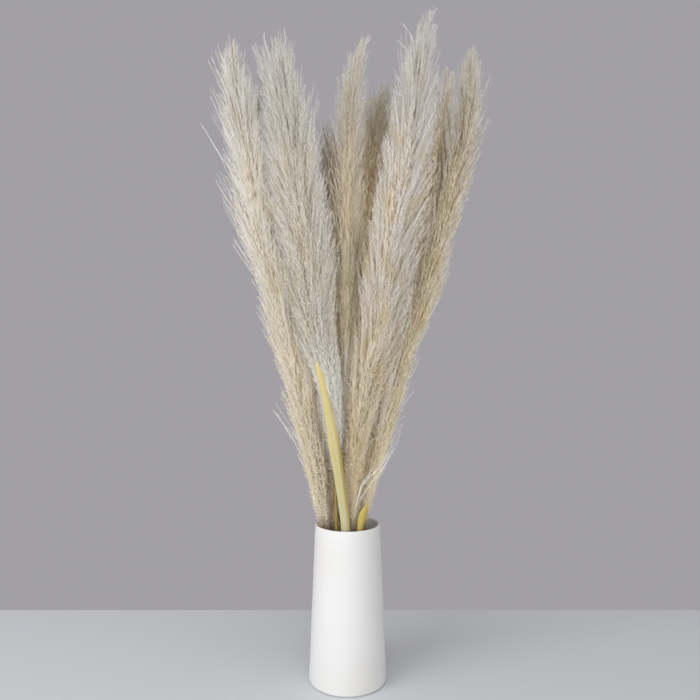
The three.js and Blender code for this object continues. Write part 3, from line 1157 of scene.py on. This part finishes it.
    def add_lock(self, top: float, angle: float) -> None:
        """Adds a lock of strands that end near each other.

        Args:
            top: the height where it ends.
            angle: the side of the plume that it lies on.
        """
        draw = self.draw
        share = (top - self.base) / (self.tip - self.base)
        angle += draw.uniform(-self.side_play, self.side_play)
        length = self.lengths[0] + (self.lengths[1] - self.lengths[0]) * share**2
        length *= draw.uniform(*self.length_play)
        reach = draw.uniform(*(self.full_reach if draw.random() < self.full_locks else self.short_reach))
        beyond = abs(draw.normal(0, self.beyond[0] - self.beyond[1] * share))
        tint = draw.random()
        for _ in range(draw.integers(self.strands[0], self.strands[1] + 1)):
            z = top + draw.normal(0, self.lock_scatter)
            centre, limit = self.at(np.array([z]))
            stray = min(beyond, limit[0] * self.most_stray)
            radius = limit[0] * reach * draw.uniform(*self.reach_play)
            radius += stray * draw.uniform(*self.stray_play)
            turn = angle + draw.normal(0, self.lock_turn)
            end = centre[0] + radius * np.array([math.cos(turn), math.sin(turn), 0.0])
            end[2] = min(z, self.tip - self.hair_length * self.end_below_tip)
            curl = abs(draw.normal(0, self.lock_curl + self.lock_curl * (1 - share)))
            curl = min(curl, limit[0] * self.most_curl)
            fine = 1 - self.finer_top * share**3
            self.add_strand(end, length * draw.uniform(*self.strand_play), tint, curl, fine)

    def crown_places(self) -> list[Pair]:
        """Spreads places over the front of the plume's top.

        Returns:
            The x and z of each.
        """
        z = self.tip - np.linspace(*self.crown_drop, self.crown)
        centre, limit = self.at(z)
        x = centre[:, 0] + limit * self.crown_width * np.sin(np.arange(self.crown) * GOLDEN_ANGLE)
        return list(zip(x, z))

    def add_tufts(self) -> None:
        """Adds all the tufts in front of the plume."""
        draw = self.draw
        kinds = {
            Tuft.OUTLINE: self.tufts,
            Tuft.FILLER: self.fillers,
            Tuft.SHADED: self.shaded_tufts,
            Tuft.LIT: self.lit_tufts,
            Tuft.SHADED_CREASE: self.shaded_creases,
            Tuft.CROWN: self.crown_places(),
        }
        for kind, places in kinds.items():
            tint, count, scatter, fine = kind.value
            for x, z in places:
                centre, limit = self.at(np.array([z]))
                front = math.sqrt(max(limit[0] ** 2 - (x - centre[0, 0]) ** 2, 0.0))
                place = np.array([x, centre[0, 1] - front, z])
                for _ in range(count):
                    end = place + draw.normal(0, self.tuft_scatter) * scatter
                    self.add_strand(end, draw.uniform(*self.tuft_lengths), tint, self.tuft_curl, fine)

    def add_wisps(self) -> None:
        """Adds single fine hairs that leave the plume and bend away from it."""
        draw = self.draw
        t = np.linspace(0, 1, self.wisp_points)[:, None]
        for wisp in self.wisps:
            centre, _ = self.at(np.array([wisp.root[1] - self.wisp_root, wisp.root[1]]))
            front = centre[1, 1] - wisp.front
            root = np.array([wisp.root[0], front, wisp.root[1]])
            tip = np.array([wisp.end[0], front - self.wisp_forward, wisp.end[1]])
            side = math.copysign(1.0, wisp.end[0] - wisp.root[0])
            for _ in range(self.wisp_hairs):
                end = tip + draw.normal(0, self.wisp_scatter, 3)
                line = root + (end - root) * t
                line[:, 0] += wisp.bow * (4 * t * (1 - t))[:, 0]
                line[:, 0] += self.wisp_wave * np.sin(t[:, 0] * draw.uniform(*self.wisp_waves))
                line = self.in_mouth(np.vstack([centre[:1], line]))
                numbers = {"away_x": side, "tint": self.wisp_tint, "size": self.wisp_size, "loose": 1.0}
                self.guides.add(line, Guide.STRAND, **numbers)

    def add_cane(self) -> None:
        """Adds the cane's line, which thins upwards."""
        z = np.linspace(self.foot, self.tip - self.cane_stop, self.cane_points)
        centre, _ = self.at(z)
        thick = np.linspace(*self.cane_radius, len(z))
        self.guides.add(centre, Guide.CANE, tint=0.5, depth=0.8, thickness=thick)

    def add_heart(self) -> None:
        """Adds the line of the slim body that closes the plume's heart."""
        z = np.linspace(self.base + self.heart_start, self.tip - self.heart_stop, self.heart_points)
        centre, reach = self.at(z)
        ends = eased(np.minimum(z - z[0], (z[-1] - z) * 0.5) / self.heart_ends)
        thick = np.maximum(self.heart_least, self.heart_share * reach * ends)
        # The heart's tint below 0 gives it painted shade, a dark interior.
        self.guides.add(centre, Guide.HEART, tint=-0.3, depth=0.9, thickness=thick)

    def build(self, tree: StalkTree) -> Object:
        """Draws the guide lines, grows the stalk on them and hands it over.

        Args:
            tree: the tree that grows it.

        Returns:
            The stalk.
        """
        for k, top in enumerate(self.lock_heights()):
            self.add_lock(top, k * GOLDEN_ANGLE)
        self.add_tufts()
        self.add_wisps()
        self.add_cane()
        self.add_heart()
        piece = new_object(self.name, self.guides.mesh(self.name))
        tree.grow(
            piece,
            Spacing=self.guides.hairy_length(self.bare_depth) / self.hairs,
            Hair_Length=self.hair_length,
            Hair_Width=self.hair_width,
            Spread=self.spread,
            Lift=self.lift,
            Bare_Depth=self.bare_depth,
            Seed=self.seed,
            Fluff=self.tone.value.material(),
            Cane=CANE.material(),
        )
        return hand_over(piece, self.name.replace("grown_", "plume_"))


STALKS = (
    Stalk(
        "grown_far_left", Tone.CREAM, seed=11, crown=11, cane_stop=0.006,
        rows=metres(
            (285, -38, -14, 14), (354, -46, -15, 25), (418, -59, -16, 34), (504, -78, -18, 36),
            (629, -110, -21, 36), (696, -124, -22, 39), (759, -143, -26, 42), (822, -157, -30, 44),
            (946, -177, -40, 43), (1028, -189, -45, 39), (1091, -201, -48, 26), (1134, -198, -50, 3),
        ),
        tufts=metres(
            (-236, 1094), (-226, 1112), (-234, 1050), (-232, 1010), (-226, 890), (-218, 850), (-202, 780),
            (-159, 664), (-148, 630), (-128, 484), (-178, 1106), (-172, 1078),
        ),
        fillers=metres(
            (-160, 1030), (-157, 1000), (-155, 970), (-152, 940), (-150, 910), (-147, 880), (-143, 850),
            (-138, 820), (-132, 790), (-126, 760), (-120, 730), (-113, 700), (-77, 605), (-69, 577),
            (-62, 550), (-54, 522), (-49, 496), (-43, 470), (-38, 445), (-33, 420), (-29, 395), (-26, 370),
        ),
        shaded_tufts=metres(
            (-148, 1050), (-60, 520), (-52, 480), (-43, 440), (-36, 405), (-30, 370), (-28, 345), (-30, 325),
        ),
        wisps=wisps(
            (-212, 905, -255, 986, 4), (-214, 970, -236, 1034), (-195, 887, -227, 942, 2, 30),
            (-203, 855, -226, 902), (-194, 805, -219, 858), (-178, 745, -200, 788), (-140, 626, -159, 670),
            (-132, 610, -155, 652, 3, 15), (-80, 390, -131, 483, 7), (-84, 420, -103, 456),
            (-82, 425, -98, 450, 1, 15),
        ),
    ),
    Stalk(
        "grown_left", Tone.SILVER, seed=12, base=0.375, shaded_below=0.45, crown=14, locks=235, hairs=33000,
        cane_radius=(0.0042, 0.0005),
        rows=metres(
            (285, -20, -25, 6), (400, -22, -34, 11), (453, -24, -38, 15), (532, -32, -43, 22),
            (576, -40, -46, 29), (628, -53, -49, 39), (679, -62, -53, 46), (765, -70, -60, 56),
            (848, -82, -70, 60), (930, -93, -82, 57), (1002, -102, -90, 48), (1074, -114, -97, 33),
            (1100, -116, -100, 18), (1112, -116, -101, 4),
        ),
        tufts=metres(
            (-156, 1096), (-150, 1072), (-137, 1104), (-127, 1110), (-106, 1112), (-98, 1106), (-90, 1092),
            (-78, 1060), (-58, 1022), (-50, 1006),
        ),
        wisps=wisps(
            (-130, 1080, -138, 1117, -3), (-110, 1085, -104, 1122, 4), (-58, 955, -49, 1010, -3),
            (-140, 1050, -154, 1098),
        ),
    ),
    Stalk(
        "grown_centre", Tone.ROSE, seed=13, crown=12, locks=155, hairs=23000,
        rows=metres(
            (285, -1, -2, 8), (412, -4, -6, 19), (529, -4, -8, 26), (684, -4, 0, 31), (776, -4, 8, 36),
            (891, -4, 13, 39), (958, 2, 12, 38), (1039, 7, 9, 32), (1110, 16, 5, 22), (1146, 26, 4, 9),
            (1166, 37, 3, 3),
        ),
        tufts=metres((20, 1134), (-3, 1110), (-9, 1096), (-22, 1046), (-24, 1020)),
        fillers=metres(
            (-38, 860), (-39, 830), (-39, 800), (-39, 770), (-38, 740), (-37, 710), (-36, 680), (-35, 650),
            (-33, 620), (-31, 590), (30, 900), (30, 860), (28, 820),
        ),
        shaded_tufts=metres(
            (-44, 890), (-38, 920), (-41, 945), (-43, 860), (-40, 835), (-52, 955), (-50, 925), (-47, 885),
            (-49, 990), (-42, 996), (-34, 985), (-48, 965), (-40, 965), (-33, 955), (-46, 935), (-38, 935),
            (-45, 905), (-38, 905), (-42, 875), (-38, 850), (-16, 300), (-12, 310), (-18, 318), (-13, 292),
            (-14, 330), (-18, 342), (-21, 358), (-17, 372), (-23, 388), (-20, 402),
        ),
        lit_tufts=metres(
            (-2, 615), (1, 598), (-3, 580), (0, 562), (-3, 545), (1, 528), (-2, 510), (0, 492), (-2, 474),
        ),
        shaded_creases=metres(
            (-24, 820), (-23, 800), (-22, 780), (-21, 760), (-20.5, 740), (-20, 720), (-19.5, 700),
            (-19, 680), (-18.5, 660), (-18, 640), (20.5, 815), (19.5, 795), (18.5, 775), (17.5, 755),
            (16.5, 735), (15.5, 715), (5.5, 565), (4.5, 545),
        ),
        wisps=wisps((28, 1130, 42, 1160, -4), (-10, 1050, -20, 1086)),
    ),
    Stalk(
        "grown_tall", Tone.PEARL, seed=14, crown=14, locks=210, hairs=31500,
        rows=metres(
            (285, 8, -26, 8), (364, 11, -31, 16), (421, 15, -35, 22), (532, 30, -42, 30), (628, 50, -47, 39),
            (680, 58, -51, 44), (765, 68, -58, 47), (849, 83, -67, 47), (931, 99, -76, 47),
            (1005, 112, -84, 44), (1078, 121, -90, 32), (1126, 130, -94, 19), (1159, 137, -96, 3),
        ),
        tufts=metres((94, 1124), (86, 1104), (94, 1090), (148, 1120), (152, 1082), (74, 1030)),
        fillers=metres(
            (146, 905), (142, 880), (137, 855), (133, 830), (128, 805), (124, 780), (120, 755), (116, 730),
            (112, 705), (108, 680), (101, 655), (95, 630), (88, 605), (81, 580), (73, 555), (66, 530),
        ),
        wisps=wisps(
            (108, 1105, 92, 1136, 3), (102, 1085, 84, 1109), (134, 1140, 146, 1160, 4),
            (138, 1100, 149, 1130), (22, 356, 41, 386, 2, 24), (28, 366, 78, 432, 7, 26),
            (38, 362, 64, 388, 2, 22), (52, 392, 78, 420, 2, 26), (18, 340, 34, 378, -3, 26),
            (46, 372, 90, 456, 6, 28), (40, 440, 62, 452, 4, 34),
        ),
    ),
    Stalk(
        "grown_right", Tone.GOLD, seed=15, crown=9, locks=170, hairs=26000, loose_foot=0.5,
        rows=metres(
            (285, 24, -10, 7), (353, 35, -9, 17), (417, 53, -8, 25), (503, 74, -6, 28), (575, 95, -5, 28),
            (629, 114, -5, 30), (697, 136, -5, 33), (762, 154, -6, 36), (863, 179, -7, 38),
            (952, 202, -9, 35), (1041, 216, -11, 28), (1112, 221, -13, 16), (1136, 227, -14, 3),
        ),
        tufts=metres(
            (250, 1068), (247, 1028), (249, 996), (235, 944), (220, 902), (178, 728), (163, 698), (120, 570),
            (203, 1106), (231, 1096),
        ),
        lit_tufts=metres(
            (78, 602), (84, 588), (74, 573), (80, 560), (70, 546), (76, 532), (67, 516), (98, 640),
            (104, 664),
        ),
        shaded_creases=metres(
            (178, 1030), (173, 1000), (170, 985), (168, 970), (165, 955), (163, 940), (158, 905),
            (206, 1040), (203, 1015),
        ),
        wisps=wisps(
            (238, 1045, 253, 1080), (234, 975, 251, 1005), (214, 920, 231, 952, 3), (202, 875, 218, 913, 3),
            (188, 805, 202, 850), (160, 705, 178, 738), (142, 650, 160, 676), (128, 615, 143, 640),
            (106, 540, 126, 578, 4), (80, 470, 112, 536, 4), (84, 462, 117, 520, -3),
            (74, 452, 104, 474, -2), (66, 432, 98, 460, -3), (62, 408, 86, 442, 3),
        ),
    ),
    Stalk(
        "grown_back_centre", Tone.BROWN, seed=16, locks=160, hairs=22000,
        rows=metres(
            (285, 4, 25, 8), (406, 2, 40, 22), (527, 4, 54, 30), (689, 15, 70, 38), (885, 35, 92, 41),
            (985, 49, 100, 40), (1046, 58, 105, 35), (1096, 66, 108, 26), (1124, 72, 110, 12),
        ),
        tufts=metres((47, 1100), (66, 1112), (80, 1114), (92, 1120)),
        fillers=metres(
            (38, 1060), (42, 1075), (36, 1035), (34, 1005), (30, 975), (86, 1075), (88, 1050), (84, 1020),
            (62, 1085),
        ),
    ),
    Stalk(
        "grown_back_right", Tone.TAN, seed=17, locks=150, hairs=20800,
        rows=metres(
            (285, 22, 16, 8), (408, 45, 30, 21), (527, 71, 42, 29), (631, 95, 52, 34), (707, 113, 60, 37),
            (882, 152, 76, 41), (980, 173, 84, 39), (1079, 189, 90, 29), (1123, 194, 92, 17),
            (1150, 195, 93, 3),
        ),
        tufts=metres((178, 1124), (192, 1136), (205, 1128)),
    ),
)

LEAVES = (
    Leaf(
        "long_leaf", "leaf_long", LONG_STRAW,
        rows=metres(
            (12.3, -1, -22, 9), (150, -3, -38, 13), (284, -4, -47, 16), (370, -14, -60, 18),
            (425, -22, -69, 20), (479, -31, -77, 16), (529, -41, -87, 12), (566, -50, -95, 8),
            (573, -52, -96, 2),
        ),
        arch=0.0034, twist=-0.12,
    ),
    Leaf(
        "short_leaf", "leaf_short", SHORT_STRAW,
        rows=metres(
            (12.3, 9, -20, 8), (150, 15, -31, 10), (280, 22, -39, 11), (308, 28, -41, 14), (325, 35, -42, 2),
        ),
        arch=0.003, twist=0.15,
    ),
)


@dataclass
class Studio:
    """The camera at the photograph's place, soft light and a plain pale floor."""

    camera_place: Point = (0.004, -1.186, 0.593)
    focal_px: float = 656.0
    frame_px: float = 700.0
    sensor: float = 36.0
    near: float = 0.01
    floor_back: float = 0.31
    floor_front: float = -2.2
    floor_half_width: float = 2.0
    world_colour: Colour = (0.36, 0.35, 0.37)
    world_strength: float = 1.0
    aim: Point = (0.0, 0.0, 0.6)
    softboxes: tuple[tuple[str, Point, float, float], ...] = (
        ("key", (-1.9, -1.65, 1.1), 1.9, 46.0),
        ("front", (0.25, -2.4, 0.7), 1.6, 17.5),
        ("side", (2.1, -1.4, 0.8), 1.2, 8.5),
        ("top", (0.0, -0.6, 2.6), 1.4, 15.0),
    )

    def camera(self) -> None:
        """Sets a level camera that looks along +Y."""
        data = bpy.data.cameras.new("photo_view")
        data.sensor_width = self.sensor
        data.lens = self.sensor * self.focal_px / self.frame_px
        data.clip_start = self.near
        camera = new_object("photo_view", data)
        camera.location = self.camera_place
        camera.rotation_euler = (math.pi / 2, 0, 0)
        bpy.context.scene.camera = camera

    def floor(self) -> None:
        """Lays the floor that the vase stands on."""
        half, back, front = self.floor_half_width, self.floor_back, self.floor_front
        corners = np.array([[-half, front, 0], [half, front, 0], [half, back, 0], [-half, back, 0]])
        mesh = mesh_of("floor", corners, [(0, 1, 2, 3)], smooth=False)
        mesh.materials.append(PlainGround("plain_ground").material())
        new_object("floor", mesh)

    def softbox(self, name: str, place: Point, size: float, watts: float) -> None:
        """Hangs a square soft light that faces the middle of the plumes.

        Args:
            name: the light's name.
            place: where it hangs.
            size: the length of its side.
            watts: its power.
        """
        data = bpy.data.lights.new(name, "AREA")
        data.shape = "SQUARE"
        data.size = size
        data.energy = watts
        light = new_object(name, data)
        light.location = place
        light.rotation_euler = (Vector(place) - Vector(self.aim)).to_track_quat("Z", "Y").to_euler()

    def world(self) -> None:
        """Sets the even grey surroundings."""
        world = bpy.data.worlds.new("surroundings")
        world.use_nodes = True
        world.node_tree.nodes.clear()
        graph = Graph(world.node_tree)
        inputs = {"Color": rgba(self.world_colour), "Strength": self.world_strength}
        graph.add("ShaderNodeOutputWorld", {"Surface": graph.add("ShaderNodeBackground", inputs)})
        bpy.context.scene.world = world

    def build(self) -> None:
        """Sets up all of it."""
        self.camera()
        self.floor()
        self.world()
        for box in self.softboxes:
            self.softbox(*box)
        bpy.context.scene.view_settings.view_transform = "Standard"


def main() -> None:
    """Builds the scene and the pieces in order."""
    logging.basicConfig(level=logging.INFO, format="%(message)s")
    Studio().build()
    tree = StalkTree()
    pieces = [Vase().build(), *(leaf.build() for leaf in LEAVES), *(stalk.build(tree) for stalk in STALKS)]
    for piece in pieces:
        LOG.info("%s: %d faces", piece.name, len(piece.data.polygons))


if __name__ == "__main__":
    main()
